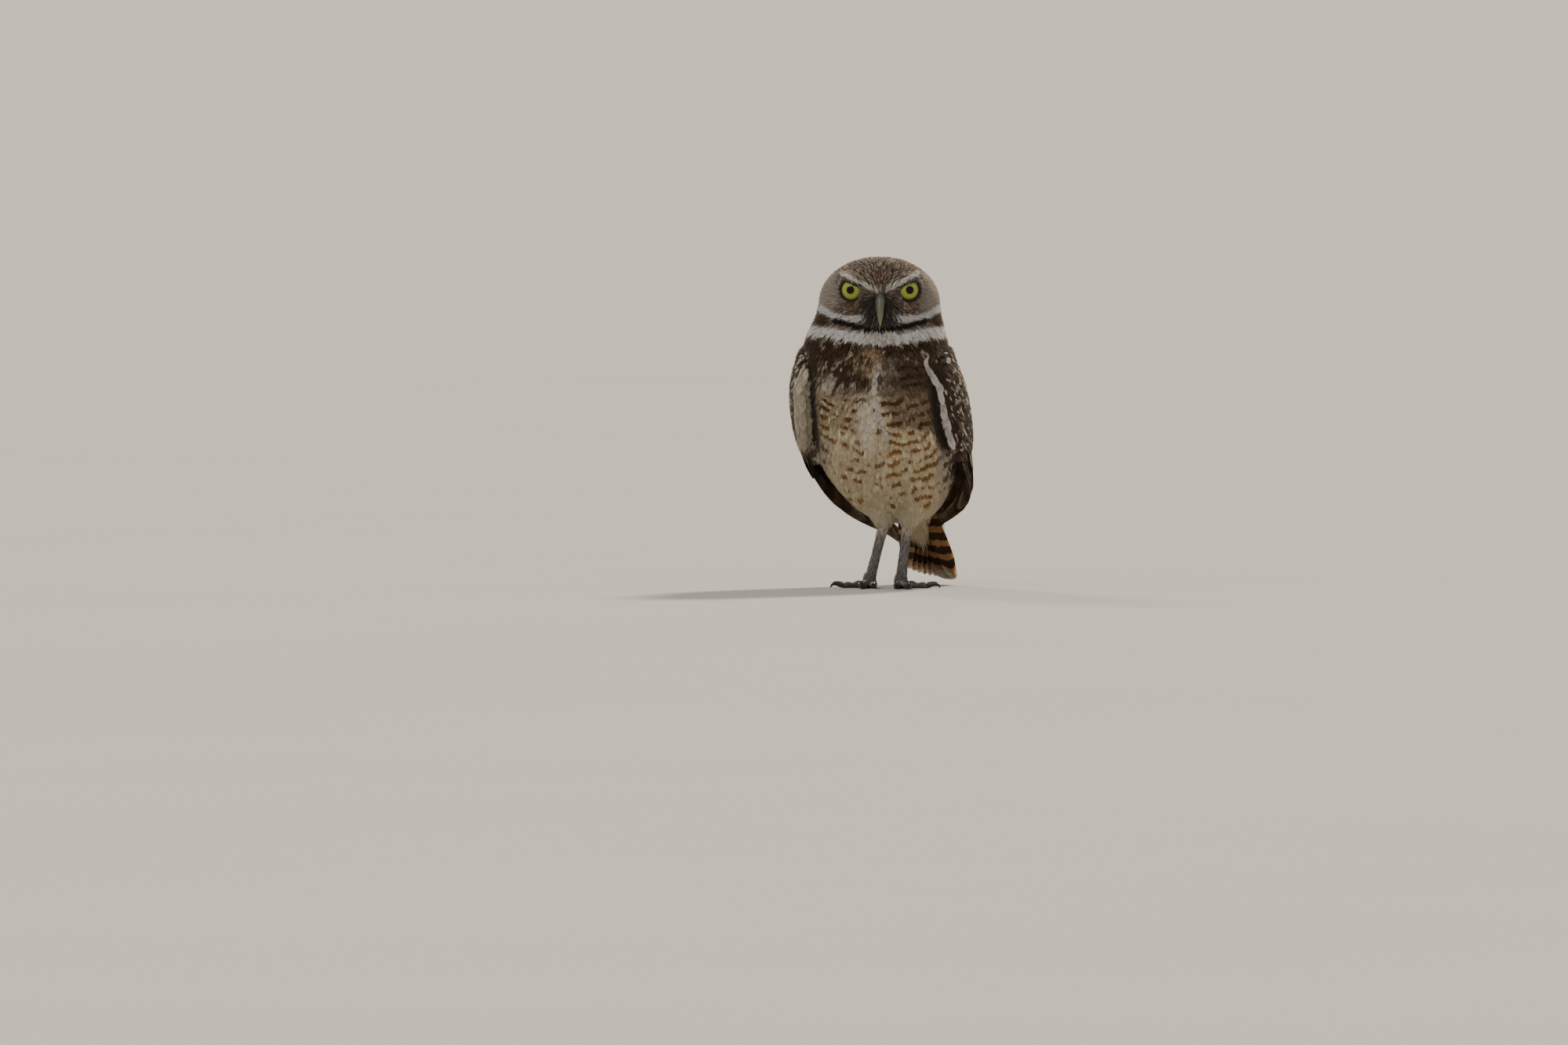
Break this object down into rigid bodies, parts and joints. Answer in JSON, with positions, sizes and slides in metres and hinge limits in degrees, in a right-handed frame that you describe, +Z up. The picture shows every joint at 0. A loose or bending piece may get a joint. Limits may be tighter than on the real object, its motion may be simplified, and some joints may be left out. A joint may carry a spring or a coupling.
{
  "type": "burrowing owl",
  "caption": "Burrowing owl, a life-size still model standing upright on two long legs, facing forward with its wings folded and its tail turned to its left.",
  "frame": {"origin": "middle of the owl's bounding box at the floor that it stands on", "axes": "+Z up, the face looks along -Y, and the owl's own left is +X"},
  "size_m": [0.1186, 0.1118, 0.2115],
  "materials": {
    "plumage_brown": "dark brown feathers with white and buff spots",
    "plumage_pale": "cream feathers barred and spotted with brown",
    "plumage_face": "short feathers, grey-brown and white",
    "horn": "smooth yellow-grey horn",
    "eye": "wet and clear, with a yellow iris",
    "leg_skin": "scaly skin, dull",
    "claw": "black horn, satin"
  },
  "bodies": {
    "root": {"head": "plumage_face", "neck": "plumage_pale", "torso": "plumage_pale", "wing_left": "plumage_brown", "wing_right": "plumage_brown", "tail": "plumage_brown", "thigh_left": "plumage_pale", "thigh_right": "plumage_pale", "tarsus_left": "leg_skin", "tarsus_right": "leg_skin", "foot_left": "leg_skin", "foot_right": "leg_skin", "claw_inner_left": "claw", "claw_middle_left": "claw", "claw_outer_left": "claw", "claw_hind_left": "claw", "claw_inner_right": "claw", "claw_middle_right": "claw", "claw_outer_right": "claw", "claw_hind_right": "claw", "eye_left": "eye", "eye_right": "eye", "bill_upper": "horn", "bill_lower": "horn"}
  },
  "joints": []
}
